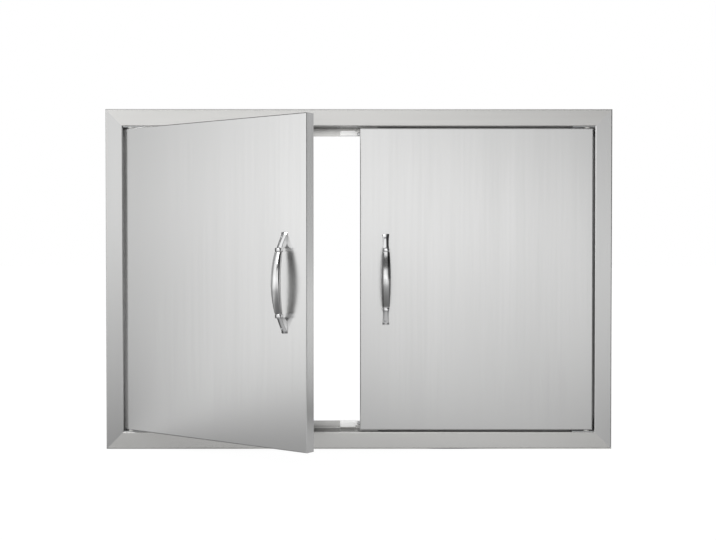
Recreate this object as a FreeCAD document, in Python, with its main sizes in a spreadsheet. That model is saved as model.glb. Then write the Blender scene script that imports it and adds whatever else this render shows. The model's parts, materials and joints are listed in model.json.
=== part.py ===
import FreeCAD, Part
import math
import os
import re
import Sketcher

# Double-leaf access door for a masonry or framed outdoor kitchen island.
# Millimetres. +X runs along the opening, +Y into the island, +Z up.
# The origin lies on the sill: the middle of the bottom jamb's outer face,
# in the plane of the island's front face.

doc = FreeCAD.newDocument("AccessDoor")
sheet = doc.addObject("Spreadsheet::Sheet", "Sizes")

# Driving dimensions: alias, value, what it measures
SIZES = [
    ("frame_width", 787.4, "face frame over its outer edges, left to right"),
    ("frame_height", 529, "face frame over its outer edges, bottom to top"),
    ("flange_width", 27, "outer edge of the face to the opening"),
    ("flange_return", 6, "depth of the edge folded back to the island's face"),
    ("frame_sheet", 1.2, "sheet of the frame"),
    ("frame_bend", 2, "outside radius of the frame's folds"),
    ("jamb_depth", 41, "front of the face to the back of the stop lip"),
    ("stop_width", 11.5, "stop lip, in from the jamb"),
    ("jamb_hole", 4.5, "mounting hole in the side jambs"),
    ("jamb_hole_depth", 28, "front of the face to a mounting hole"),
    ("jamb_hole_spacing", 320, "between the two mounting holes of a jamb"),
    ("door_gap", 2.8, "running gap around the doors"),
    ("centre_gap", 3.2, "gap between the two closed doors"),
    ("door_thickness", 17, "door, front face to back"),
    ("door_sheet", 1, "sheet of the door's pan"),
    ("door_bend", 1.5, "outside radius of the pan's folds"),
    ("door_return", 8, "edge of the pan folded in at the back"),
    ("liner_sheet", 0.8, "sheet of the door's back liner"),
    ("liner_inset", 2, "door's edge to the liner's edge"),
    ("liner_corner", 6, "corner radius of the liner"),
    ("left_open_angle", 35.8, "how far the left door stands open"),
    ("right_open_angle", 0, "how far the right door stands open"),
    ("pivot_inset", 9, "door's hinge edge to the pivot"),
    ("pivot_depth", 7, "front of the door to the pivot"),
    ("pin_diameter", 6, "pivot pins"),
    ("pin_tip", 0.8, "chamfer at a pin's tip"),
    ("pin_recess", 0.2, "pin's tip below the outer end of its bush"),
    ("fit_clearance", 0.08, "radial clearance of a pin in its bore"),
    ("free_clearance", 0.3, "gap between faces that pass or meet"),
    ("bush_diameter", 8, "outside of a pivot bush"),
    ("bush_flange", 0.8, "thickness of a bush's flange"),
    ("bush_flange_diameter", 10, "outside of a bush's flange"),
    ("hinge_plate", 1, "thickness of the plates spotted over the pivots"),
    ("hinge_plate_length", 34, "hinge plate along the rail"),
    ("hinge_plate_depth", 27, "hinge plate, front to back"),
    ("collar_diameter", 10, "thrust collar of a lower pin"),
    ("bracket_sheet", 1.5, "sheet of the pin brackets"),
    ("bracket_height", 42, "pin bracket over its ears"),
    ("bracket_width", 30, "pin bracket along the door"),
    ("bracket_front", 2, "pan's face to the front of the ears"),
    ("pin_tail", 4, "pin past the inner ear of its bracket"),
    ("knob_diameter", 10, "collar of an upper pin, under the spring's push"),
    ("knob_height", 6, "length of that collar"),
    ("tab_diameter", 3.4, "finger tab of an upper pin"),
    ("tab_reach", 8, "finger tab past the liner"),
    ("pin_travel", 5, "how far an upper pin draws back"),
    ("spring_wire", 0.9, "wire of the pin spring"),
    ("spring_radius", 4.1, "centre of the spring's wire to its axis"),
    ("spring_turns", 5, "turns of the pin spring"),
    ("stiffener_sheet", 1, "sheet of the hat stiffener"),
    ("stiffener_web", 26, "web of the hat stiffener"),
    ("stiffener_flange", 10, "each flange of the hat stiffener"),
    ("stiffener_end_gap", 12, "end of the stiffener to the pan's return"),
    ("handle_edge", 39.4, "door's free edge to the handle"),
    ("handle_hole_spacing", 128, "between the handle's two screws"),
    ("handle_screw", 4, "handle screw"),
    ("screw_bite", 6, "handle screw into its foot"),
    ("screw_head", 8, "head of the handle screw, across"),
    ("screw_head_height", 2.6, "head of the handle screw, high"),
    ("washer_diameter", 11, "washer under the handle screw"),
    ("washer_sheet", 0.8, "thickness of that washer"),
    ("bow_radius", 151, "radius of the handle's bow"),
    ("bow_standoff", 21, "centre of the grip out from the door"),
    ("grip_reach", 43.5, "middle of the grip to its end"),
    ("grip_width", 14.8, "grip across at its middle"),
    ("grip_thickness", 9.5, "grip front to back at its middle"),
    ("grip_end_width", 11.2, "grip across near its end"),
    ("grip_end_thickness", 7.6, "grip front to back near its end"),
    ("neck_diameter", 6.4, "neck between grip, bead and foot"),
    ("shoulder_share", 0.8, "size of the grip's very end as a share of its full end"),
    ("bead_reach", 46.8, "middle of the grip to the bead"),
    ("bead_diameter", 10.2, "bead across"),
    ("bead_length", 4.6, "bead along the handle"),
    ("bead_edge", 1.3, "chamfer of the bead's rim"),
    ("foot_start", 47.5, "middle of the grip to the foot's neck"),
    ("foot_heel", 54, "middle of the grip to where the foot meets the door"),
    ("foot_tip", 72, "middle of the grip to the foot's tip"),
    ("foot_neck", 8, "foot across at its neck"),
    ("foot_tail", 14.6, "foot across its flared tail, before its corners are rounded"),
    ("foot_edge", 2.2, "thickness of the foot at its tip"),
    ("foot_bow", 60, "radius of the foot's outer curve"),
    ("foot_hollow", 14, "radius of the hollow under the foot's neck"),
    ("foot_flare", 45, "radius of the foot's flared sides"),
    ("foot_bevel", 1.4, "bevel along the foot's outer edges"),
    ("foot_corner", 2.6, "corner radius of the foot's tail"),
    ("catch_block", 24, "width of one magnet block"),
    ("catch_space", 11, "space between the two magnet blocks"),
    ("catch_height", 6.5, "magnet block, high"),
    ("catch_offset", 5, "jamb to the magnet block"),
    ("catch_base", 2, "thickness of the catch's base"),
    ("catch_wall", 1.1, "wall round a magnet"),
    ("catch_corner", 0.8, "rounding of a magnet block's front corners"),
    ("magnet_length", 12, "magnet, front to back"),
    ("pole_sheet", 0.9, "pole plate beside a magnet"),
    ("catch_screw", 3.5, "screw that holds a catch"),
    ("catch_screw_head", 5.6, "head of that screw, across"),
    ("catch_screw_height", 2, "head of that screw, high"),
    ("catch_screw_length", 9, "that screw under its head"),
    ("strike_sheet", 0.8, "strike plate on the door's back"),
    ("strike_width", 26, "strike plate along the door"),
    ("strike_height", 17, "strike plate, high"),
    ("strike_inset", 2.6, "door's top or bottom edge to a strike plate"),
    ("rivet_diameter", 3, "rivet of a strike plate"),
    ("rivet_head", 5, "head of that rivet"),
    ("rivet_edge", 4, "rivet to the strike plate's inner edge"),
    ("rivet_tail", 1.1, "height of a rivet's head and tail"),
    ("rivet_spacing", 10, "between the two rivets of a strike plate"),
]
ALIASES = {alias for alias, number, note in SIZES}

for row, (alias, number, note) in enumerate(SIZES, start=1):
    sheet.set(f"A{row}", note)
    sheet.set(f"B{row}", str(number))
    sheet.setAlias(f"B{row}", alias)
doc.recompute()

# Places that several pieces share, worked out from the sizes
OPENING_HALF = "(frame_width / 2 - flange_width)"
FRAME_LOW = "(frame_sheet - flange_width)"
FRAME_HIGH = "(frame_height + frame_sheet - flange_width)"
SILL = "frame_sheet"
HEAD = "(frame_height + frame_sheet - 2 * flange_width)"
MID_HEIGHT = f"(({SILL} + {HEAD}) / 2)"
FRONT = "(0 - flange_return)"
LIP_BACK = f"({FRONT} + jamb_depth)"
LIP_FRONT = f"({LIP_BACK} - frame_sheet)"
DOOR_LOW = f"({SILL} + door_gap)"
DOOR_HIGH = f"({HEAD} - door_gap)"
DOOR_HINGE = f"({OPENING_HALF} - door_gap)"
DOOR_FREE = "(centre_gap / 2)"
DOOR_BACK = f"({FRONT} + door_thickness)"
PAN_BACK = f"({DOOR_BACK} - liner_sheet)"
PIVOT_X = f"({DOOR_HINGE} - pivot_inset)"
PIVOT_Y = f"({FRONT} + pivot_depth)"
HANDLE_X = f"({DOOR_FREE} + handle_edge)"
WEB_BACK = f"({PAN_BACK} - door_sheet)"
WEB_FRONT = f"({WEB_BACK} - bracket_sheet)"
EAR_FRONT = f"({FRONT} + door_sheet + bracket_front)"
PIN_BORE = "(pin_diameter + 2 * fit_clearance)"
CATCH_FRONT = f"({DOOR_BACK} + strike_sheet + free_clearance)"
CATCH_MIDDLE = "(catch_offset + catch_height / 2)"
STRIKE_X = "(catch_space / 2 + catch_block / 2)"
TAB_HEIGHT = f"({DOOR_HIGH} - door_sheet - bracket_sheet - free_clearance - knob_height / 2)"

SIDES = {"left": -1, "right": 1}
ENDS = {"bottom": -1, "top": 1}

# How far a cut starts and ends outside the wall that it goes through
PAST = 1

# Screws and rivets, as shares of their own sizes
POINT_WIDTH = 0.6
POINT_LENGTH = 0.5
CROWN_WIDTH = 0.6
CROWN_EDGE = 0.5

nodes = []


def bound(text):
    """An expression with each size written as the sheet's cell."""
    return re.sub(r"[a-z_]+", lambda word: ("Sizes." + word[0]) if word[0] in ALIASES else word[0], text)


def value(text):
    """The number that an expression has now."""
    result = sheet.evalExpression(bound(text))
    return float(getattr(result, "Value", result))


def bind(thing, path, text):
    thing.setExpression(path, bound(text))


def new_body(name):
    return doc.addObject("PartDesign::Body", name)


def keep(thing, name):
    """Marks an object as one of the part's pieces, with its name."""
    thing.Label = name
    nodes.append(thing)
    return thing


def arc_middle(start, end, radius):
    """A point on the arc from start to end that bulges to its left, or to its right if radius is negative."""
    chord = end - start
    half = chord.Length / 2
    left = FreeCAD.Vector(-chord.y, chord.x, 0).normalize()
    rise = abs(radius) - math.sqrt(radius * radius - half * half)
    return (start + end) * 0.5 + left * math.copysign(rise, radius)


def draw_outline(sketch, corners):
    """Closed outline. A corner is (x, y), or (x, y, radius) where the edge that leaves it is an arc."""
    points = [FreeCAD.Vector(value(corner[0]), value(corner[1]), 0) for corner in corners]
    count = len(corners)
    edges = []
    for number, corner in enumerate(corners):
        start = points[number]
        end = points[(number + 1) % count]
        if len(corner) == 3:
            middle = arc_middle(start, end, value(corner[2]))
            edge = sketch.addGeometry(Part.Arc(start, middle, end))
            radius = sketch.addConstraint(Sketcher.Constraint("Radius", edge, abs(value(corner[2]))))
            bind(sketch, f"Constraints[{radius}]", f"abs({corner[2]})")
        else:
            edge = sketch.addGeometry(Part.LineSegment(start, end))
        first = 1 if sketch.getPoint(edge, 1).distanceToPoint(start) < 1e-6 else 2
        edges.append((edge, first, 3 - first))
    for number in range(count):
        edge, first, last = edges[number]
        following = edges[(number + 1) % count]
        sketch.addConstraint(Sketcher.Constraint("Coincident", edge, last, following[0], following[1]))
    for number, corner in enumerate(corners):
        edge, first, last = edges[number]
        for kind, text, number_now in (("DistanceX", corner[0], points[number].x),
                                       ("DistanceY", corner[1], points[number].y)):
            place = sketch.addConstraint(Sketcher.Constraint(kind, -1, 1, edge, first, number_now))
            bind(sketch, f"Constraints[{place}]", text)


def draw_circle(sketch, x, y, diameter):
    centre = FreeCAD.Vector(value(x), value(y), 0)
    circle = Part.Circle(centre, FreeCAD.Vector(0, 0, 1), value(diameter) / 2)
    edge = sketch.addGeometry(circle)
    size = sketch.addConstraint(Sketcher.Constraint("Diameter", edge, value(diameter)))
    bind(sketch, f"Constraints[{size}]", diameter)
    for kind, text, number_now in (("DistanceX", x, centre.x), ("DistanceY", y, centre.y)):
        place = sketch.addConstraint(Sketcher.Constraint(kind, -1, 1, edge, 3, number_now))
        bind(sketch, f"Constraints[{place}]", text)


def new_sketch(body, name, plane, low, outlines=(), circles=()):
    """A sketch on one of the body's origin planes, moved along that plane's axis to low."""
    sketch = body.newObject("Sketcher::SketchObject", name)
    support = [plane_object for plane_object in body.Origin.OriginFeatures if plane_object.Role == plane][0]
    sketch.AttachmentSupport = [(support, "")]
    sketch.MapMode = "FlatFace"
    bind(sketch, "AttachmentOffset.Base.z", f"0 - ({low})" if plane == "XZ_Plane" else low)
    for corners in outlines:
        draw_outline(sketch, corners)
    for x, y, diameter in circles:
        draw_circle(sketch, x, y, diameter)
    return sketch


def pad(body, name, plane, low, length, outlines=(), circles=()):
    """Adds material from low, by length, along the plane's axis."""
    feature = body.newObject("PartDesign::Pad", name)
    feature.Profile = new_sketch(body, name + "Sketch", plane, low, outlines, circles)
    bind(feature, "Length", length)
    feature.Reversed = plane == "XZ_Plane"
    doc.recompute()
    return feature


def pocket(body, name, plane, low, length, outlines=(), circles=()):
    """Cuts material from low, by length, along the plane's axis."""
    before = body.Shape.Volume
    feature = body.newObject("PartDesign::Pocket", name)
    feature.Profile = new_sketch(body, name + "Sketch", plane, low, outlines, circles)
    bind(feature, "Length", length)
    feature.Reversed = plane != "XZ_Plane"
    doc.recompute()
    if body.Shape.Volume > before - 1e-6:
        raise RuntimeError(f"{body.Name}: {name} cuts nothing")
    return feature


def cut_through(body, name, plane, low, thickness, outlines=(), circles=()):
    """Cuts through a wall that starts at low, from outside one face to outside the other."""
    return pocket(body, name, plane, f"{low} - {PAST}", f"{thickness} + 2 * {PAST}", outlines, circles)


def turned(name, profile, plane="XZ_Plane"):
    """A body turned about Z, or about Y if its profile lies on the XY plane. Corners are (radius, along)."""
    body = new_body(name)
    feature = body.newObject("PartDesign::Revolution", name + "Turn")
    sketch = new_sketch(body, name + "Profile", plane, "0", [profile])
    feature.Profile = sketch
    feature.ReferenceAxis = (sketch, ["V_Axis"])
    feature.Angle = 360
    doc.recompute()
    return body


def edges_along(shape, axis, spots):
    """Names of the straight edges along an axis that pass through the spots, given by the other two axes."""
    across = [letter for letter in "XYZ" if letter != axis]
    names = []
    for number, edge in enumerate(shape.Edges, start=1):
        if not isinstance(edge.Curve, Part.Line):
            continue
        first, last = edge.Vertexes[0].Point, edge.Vertexes[-1].Point
        direction = (last - first).normalize()
        if abs(abs(getattr(direction, axis.lower())) - 1) > 1e-6:
            continue
        here = [getattr(first, letter.lower()) for letter in across]
        if any(abs(here[0] - spot[0]) + abs(here[1] - spot[1]) < 1e-4 for spot in spots):
            names.append(f"Edge{number}")
    return names


def fillet(body, name, radius, edge_names):
    feature = body.newObject("PartDesign::Fillet", name)
    feature.Base = (feature.BaseFeature, edge_names)
    bind(feature, "Radius", radius)
    doc.recompute()


def chamfer(body, name, size, edge_names):
    feature = body.newObject("PartDesign::Chamfer", name)
    feature.Base = (feature.BaseFeature, edge_names)
    bind(feature, "Size", size)
    doc.recompute()


def box_outline(left, right, low, high):
    return [(left, low), (right, low), (right, high), (left, high)]


def place(thing, x="0", y="0", z="0"):
    for axis, text in (("x", x), ("y", y), ("z", z)):
        bind(thing, f"Placement.Base.{axis}", text)


def swing(thing, side, x="0", y="0", z="0"):
    """Places a door's piece, drawn at x, y, z on the closed door, with the door at its opening angle."""
    turn = f"({SIDES[side]} * {side}_open_angle)"
    pivot_x = f"({SIDES[side]} * {PIVOT_X})"
    reach = f"({x} - {pivot_x})"
    depth = f"({y} - {PIVOT_Y})"
    bind(thing, "Placement.Rotation.Angle", turn)
    bind(thing, "Placement.Base.x", f"{pivot_x} + {reach} * cos({turn}) - {depth} * sin({turn})")
    bind(thing, "Placement.Base.y", f"{PIVOT_Y} + {reach} * sin({turn}) + {depth} * cos({turn})")
    bind(thing, "Placement.Base.z", z)


# Frame: four folded rails, mitred at the corners

# Corners of a rail's section: how far in from the frame's edge, how far back from its face, the bend there
RAIL_PROFILE = [
    ("0", "0", "outer bend"),
    ("flange_width", "0", "outer bend"),
    ("flange_width", "jamb_depth - frame_sheet", "inner bend"),
    ("flange_width + stop_width", "jamb_depth - frame_sheet", "edge"),
    ("flange_width + stop_width", "jamb_depth", "edge"),
    ("flange_width - frame_sheet", "jamb_depth", "outer bend"),
    ("flange_width - frame_sheet", "frame_sheet", "inner bend"),
    ("frame_sheet", "frame_sheet", "inner bend"),
    ("frame_sheet", "flange_return", "edge"),
    ("0", "flange_return", "edge"),
]
MITRE_REACH = "(flange_width + stop_width + frame_bend)"


def bend_rail(body, axis, corners):
    """Rounds the folds of a rail, outside and inside."""
    for kind, radius in (("outer bend", "frame_bend"), ("inner bend", "frame_bend - frame_sheet")):
        spots = [(value(x), value(y)) for (x, y), row in zip(corners, RAIL_PROFILE) if row[2] == kind]
        fillet(body, kind.title().replace(" ", ""), radius, edges_along(body.Shape, axis, spots))


def cross_rail(end):
    """Top or bottom rail, with its pivot holes and the hole for the catch's screw."""
    sign = ENDS[end]
    outer = FRAME_HIGH if end == "top" else FRAME_LOW
    body = new_body(f"Frame{end.title()}Rail")
    corners = [(f"{FRONT} + {depth}", f"{outer} - {sign} * ({reach})") for reach, depth, kind in RAIL_PROFILE]
    pad(body, "Fold", "YZ_Plane", "0 - frame_width / 2", "frame_width", [corners])
    bend_rail(body, "X", corners)
    mitres = []
    for side in SIDES.values():
        edge = f"{side} * frame_width / 2"
        mitres.append([(edge, outer), (edge, f"{outer} - {sign} * {MITRE_REACH}"),
                       (f"{edge} - {side} * {MITRE_REACH}", f"{outer} - {sign} * {MITRE_REACH}")])
    cut_through(body, "Mitres", "XZ_Plane", FRONT, "jamb_depth", mitres)
    inner = HEAD if end == "top" else f"{SILL} - frame_sheet"
    cut_through(body, "PivotHoles", "XY_Plane", inner, "frame_sheet", (),
                [(f"{side} * {PIVOT_X}", PIVOT_Y, "bush_diameter") for side in SIDES.values()])
    screw = f"{HEAD if end == 'top' else SILL} - {sign} * {CATCH_MIDDLE}"
    cut_through(body, "CatchHole", "XZ_Plane", LIP_FRONT, "frame_sheet", (), [("0", screw, "catch_screw")])
    return keep(body, f"frame_{end}_rail")


def stile(side):
    """Left or right stile, with the mounting holes in its jamb."""
    sign = SIDES[side]
    outer = f"{sign} * frame_width / 2"
    body = new_body(f"Frame{side.title()}Stile")
    corners = [(f"{outer} - {sign} * ({reach})", f"{FRONT} + {depth}") for reach, depth, kind in RAIL_PROFILE]
    pad(body, "Fold", "XY_Plane", FRAME_LOW, "frame_height", [corners])
    bend_rail(body, "Z", corners)
    mitres = []
    for height, up in ((FRAME_LOW, 1), (FRAME_HIGH, -1)):
        reach = f"{outer} - {sign} * {MITRE_REACH}"
        mitres.append([(outer, height), (reach, height), (reach, f"{height} + {up} * {MITRE_REACH}")])
    cut_through(body, "Mitres", "XZ_Plane", FRONT, "jamb_depth", mitres)
    jamb = f"(0 - {OPENING_HALF} - frame_sheet)" if side == "left" else OPENING_HALF
    cut_through(body, "JambHoles", "YZ_Plane", jamb, "frame_sheet", (),
                [(f"{FRONT} + jamb_hole_depth", f"{MID_HEIGHT} + {up} * jamb_hole_spacing / 2", "jamb_hole")
                 for up in ENDS.values()])
    return keep(body, f"frame_{side}_stile")


def hinge_plate(end, side):
    """Plate spotted to the jamb's inner face, which backs the pivot bush."""
    sign = SIDES[side]
    body = new_body(f"HingePlate{end.title()}{side.title()}")
    near = f"{sign} * ({OPENING_HALF} - free_clearance)"
    far = f"{near} - {sign} * hinge_plate_length"
    low = f"{HEAD} - hinge_plate" if end == "top" else SILL
    front = f"({FRONT} + frame_bend)"
    pad(body, "Plate", "XY_Plane", low, "hinge_plate",
        [box_outline(near, far, front, f"{front} + hinge_plate_depth")],
        [(f"{sign} * {PIVOT_X}", PIVOT_Y, "bush_diameter")])
    return keep(body, f"hinge_plate_{end}_{side}")


def pivot_bush(end, side):
    """Flanged nylon bush through the hinge plate and the jamb."""
    sign = ENDS[end]
    bore = f"{PIN_BORE} / 2"
    flange_face = f"{sign} * (0 - hinge_plate - bush_flange)"
    plate_face = f"{sign} * (0 - hinge_plate)"
    outer_end = f"{sign} * frame_sheet"
    profile = [(bore, flange_face), ("bush_flange_diameter / 2", flange_face),
               ("bush_flange_diameter / 2", plate_face), ("bush_diameter / 2", plate_face),
               ("bush_diameter / 2", outer_end), (bore, outer_end)]
    body = turned(f"PivotBush{end.title()}{side.title()}", profile)
    place(body, f"{SIDES[side]} * {PIVOT_X}", PIVOT_Y, HEAD if end == "top" else SILL)
    return keep(body, f"pivot_bush_{end}_{side}")


# Catches: a double magnetic catch on the stop lip, top and bottom

def catch_rows(end):
    """Low and high side of a catch's blocks."""
    if end == "top":
        return f"({HEAD} - catch_offset - catch_height)", f"({HEAD} - catch_offset)"
    return f"({SILL} + catch_offset)", f"({SILL} + catch_offset + catch_height)"


def catch_housing(end):
    """Base against the lip and two blocks, each with a magnet pocket that opens to the back."""
    low, high = catch_rows(end)
    body = new_body(f"CatchHousing{end.title()}")
    outer = "(catch_space / 2 + catch_block)"
    pad(body, "Base", "XZ_Plane", f"{LIP_FRONT} - catch_base", "catch_base",
        [box_outline(f"0 - {outer}", outer, low, high)],
        [("0", f"({low} + {high}) / 2", "catch_screw")])
    blocks = [box_outline(f"{side} * catch_space / 2", f"{side} * {outer}", low, high)
              for side in SIDES.values()]
    pad(body, "Blocks", "XZ_Plane", CATCH_FRONT, f"{LIP_FRONT} - {CATCH_FRONT}", blocks)
    front_edges = []
    for side in SIDES.values():
        for x in ("catch_space / 2", outer):
            front_edges.append((value(f"{side} * {x}"), value(CATCH_FRONT)))
    fillet(body, "BlockEdges", "catch_corner", edges_along(body.Shape, "Z", front_edges))
    pockets = [box_outline(f"{side} * (catch_space / 2 + catch_wall)", f"{side} * ({outer} - catch_wall)",
                           f"{low} + catch_wall", f"{high} - catch_wall") for side in SIDES.values()]
    pocket(body, "MagnetPockets", "XZ_Plane", f"{CATCH_FRONT} + catch_wall",
           f"{LIP_FRONT} - {CATCH_FRONT}", pockets)
    return keep(body, f"catch_housing_{end}")


def catch_magnets(end):
    """In each block a magnet between two pole plates."""
    low, high = catch_rows(end)
    front = f"({CATCH_FRONT} + catch_wall)"
    magnets = []
    plates = []
    for side in SIDES.values():
        left = f"{side} * (catch_space / 2 + catch_wall)"
        right = f"{side} * (catch_space / 2 + catch_block - catch_wall)"
        pocket_low = f"({low} + catch_wall)"
        pocket_high = f"({high} - catch_wall)"
        magnets.append(box_outline(left, right, f"{pocket_low} + pole_sheet", f"{pocket_high} - pole_sheet"))
        plates.append(box_outline(left, right, pocket_low, f"{pocket_low} + pole_sheet"))
        plates.append(box_outline(left, right, f"{pocket_high} - pole_sheet", pocket_high))
    for label, outlines in (("catch_magnets", magnets), ("catch_pole_plates", plates)):
        name = label.title().replace("_", "") + end.title()
        group(f"{label}_{end}", [slab(f"{name}{number}", front, "magnet_length", outline)
                                 for number, outline in enumerate(outlines, start=1)])


def slab(name, front, thickness, outline, circles=()):
    """A flat piece that lies square to Y, from its front face back."""
    body = new_body(name)
    pad(body, "Slab", "XZ_Plane", front, thickness, [outline], circles)
    return body


def group(label, pieces):
    """Like pieces under one name, or a copy of one master piece that gets its own place."""
    compound = doc.addObject("Part::Compound", label.title().replace("_", "") + "Group")
    compound.Links = pieces
    return keep(compound, label)


def screw_profile(face, length, shank, head, height):
    """Half outline of a pan-head screw that points towards -y, its head sitting on the face."""
    tip = f"({face} - {length})"
    top = f"({face} + {height})"
    return [("0", tip),
            (f"{shank} / 2 * {POINT_WIDTH}", tip),
            (f"{shank} / 2", f"{tip} + {shank} * {POINT_LENGTH}"),
            (f"{shank} / 2", face),
            (f"{head} / 2", face),
            (f"{head} / 2", f"{face} + {height} * {CROWN_EDGE}"),
            (f"{head} / 2 * {CROWN_WIDTH}", top),
            ("0", top)]


def catch_screw(end):
    """Pan-head screw through the catch's base into the lip."""
    profile = screw_profile("0", "catch_screw_length", "catch_screw", "catch_screw_head",
                            "catch_screw_height")
    reversed_profile = [(radius, f"0 - ({along})") for radius, along in profile]
    body = turned(f"CatchScrew{end.title()}", reversed_profile, "XY_Plane")
    low, high = catch_rows(end)
    place(body, "0", f"{LIP_FRONT} - catch_base", f"({low} + {high}) / 2")
    return keep(body, f"catch_screw_{end}")


# Doors: a folded pan, a liner behind it, and what they hold

def door_pan(side):
    """Outer skin with its sides and the return folded in at the back."""
    sign = SIDES[side]
    body = new_body(f"{side.title()}DoorSkin")
    hinge = f"{sign} * {DOOR_HINGE}"
    free = f"{sign} * {DOOR_FREE}"
    pad(body, "Block", "XZ_Plane", FRONT, "door_thickness - liner_sheet",
        [box_outline(hinge, free, DOOR_LOW, DOOR_HIGH)])
    spots_x = [(value(FRONT), value(height)) for height in (DOOR_LOW, DOOR_HIGH)]
    spots_z = [(value(edge), value(FRONT)) for edge in (hinge, free)]
    rim = edges_along(body.Shape, "X", spots_x) + edges_along(body.Shape, "Z", spots_z)
    fillet(body, "FrontBends", "door_bend", rim)
    inner = box_outline(f"{hinge} - {sign} * door_sheet", f"{free} + {sign} * door_sheet",
                        f"{DOOR_LOW} + door_sheet", f"{DOOR_HIGH} - door_sheet")
    pocket(body, "Hollow", "XZ_Plane", f"{FRONT} + door_sheet", "door_thickness", [inner])
    opening = box_outline(f"{hinge} - {sign} * door_return", f"{free} + {sign} * door_return",
                          f"{DOOR_LOW} + door_return", f"{DOOR_HIGH} - door_return")
    rim_inner = box_outline(f"{hinge} - {sign} * door_sheet / 2", f"{free} + {sign} * door_sheet / 2",
                            f"{DOOR_LOW} + door_sheet / 2", f"{DOOR_HIGH} - door_sheet / 2")
    pad(body, "Return", "XZ_Plane", f"{PAN_BACK} - door_sheet", "door_sheet", [rim_inner, opening])
    for end, low in (("Bottom", DOOR_LOW), ("Top", f"{DOOR_HIGH} - door_sheet")):
        cut_through(body, f"{end}PinHole", "XY_Plane", low, "door_sheet", (),
                    [(f"{sign} * {PIVOT_X}", PIVOT_Y, "pin_diameter + 2 * free_clearance")])
    cut_through(body, "HandleHoles", "XZ_Plane", FRONT, "door_sheet", (), handle_holes(side))
    cut_through(body, "TabSlot", "XZ_Plane", WEB_BACK, "door_sheet", [tab_slot(side)])
    swing(body, side)
    return keep(body, f"{side}_door_skin")


def handle_holes(side):
    return [(f"{SIDES[side]} * {HANDLE_X}", f"{MID_HEIGHT} + {up} * handle_hole_spacing / 2",
             "handle_screw + 2 * free_clearance") for up in ENDS.values()]


def tab_slot(side):
    """Slot that the finger tab of the upper pin runs in."""
    sign = SIDES[side]
    half = "(tab_diameter / 2 + free_clearance)"
    return box_outline(f"{sign} * {PIVOT_X} - {half}", f"{sign} * {PIVOT_X} + {half}",
                       f"{TAB_HEIGHT} - {half} - pin_travel", f"{TAB_HEIGHT} + {half}")


def door_liner(side):
    """Flat back of the door, with the slot for the finger tab."""
    sign = SIDES[side]
    body = new_body(f"{side.title()}DoorLiner")
    hinge = f"{sign} * ({DOOR_HINGE} - liner_inset)"
    free = f"{sign} * ({DOOR_FREE} + liner_inset)"
    low = f"{DOOR_LOW} + liner_inset"
    high = f"{DOOR_HIGH} - liner_inset"
    pad(body, "Sheet", "XZ_Plane", PAN_BACK, "liner_sheet", [box_outline(hinge, free, low, high)])
    corners = [(value(x), value(z)) for x in (hinge, free) for z in (low, high)]
    fillet(body, "Corners", "liner_corner", edges_along(body.Shape, "Y", corners))
    cut_through(body, "Holes", "XZ_Plane", PAN_BACK, "liner_sheet", (),
                handle_holes(side) + rivet_holes(side))
    cut_through(body, "TabSlot", "XZ_Plane", PAN_BACK, "liner_sheet", [tab_slot(side)])
    swing(body, side)
    return keep(body, f"{side}_door_liner")


def stiffener(side):
    """Hat section between skin and liner, behind the handle."""
    body = new_body(f"{side.title()}DoorStiffener")
    middle = f"{SIDES[side]} * {HANDLE_X}"
    front = f"({FRONT} + door_sheet)"
    web = "(stiffener_web / 2)"
    flange = "(stiffener_web / 2 + stiffener_flange)"
    wall = "stiffener_sheet"
    corners = [(f"{middle} - {flange}", PAN_BACK), (f"{middle} - {flange}", f"{PAN_BACK} - {wall}"),
               (f"{middle} - {web}", f"{PAN_BACK} - {wall}"), (f"{middle} - {web}", front),
               (f"{middle} + {web}", front), (f"{middle} + {web}", f"{PAN_BACK} - {wall}"),
               (f"{middle} + {flange}", f"{PAN_BACK} - {wall}"), (f"{middle} + {flange}", PAN_BACK),
               (f"{middle} + {web} - {wall}", PAN_BACK), (f"{middle} + {web} - {wall}", f"{front} + {wall}"),
               (f"{middle} - {web} + {wall}", f"{front} + {wall}"), (f"{middle} - {web} + {wall}", PAN_BACK)]
    low = f"({DOOR_LOW} + door_return + stiffener_end_gap)"
    high = f"({DOOR_HIGH} - door_return - stiffener_end_gap)"
    pad(body, "Hat", "XY_Plane", low, f"{high} - {low}", [corners])
    cut_through(body, "HandleHoles", "XZ_Plane", front, "stiffener_sheet", (), handle_holes(side))
    swing(body, side)
    return keep(body, f"{side}_door_stiffener")


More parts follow.
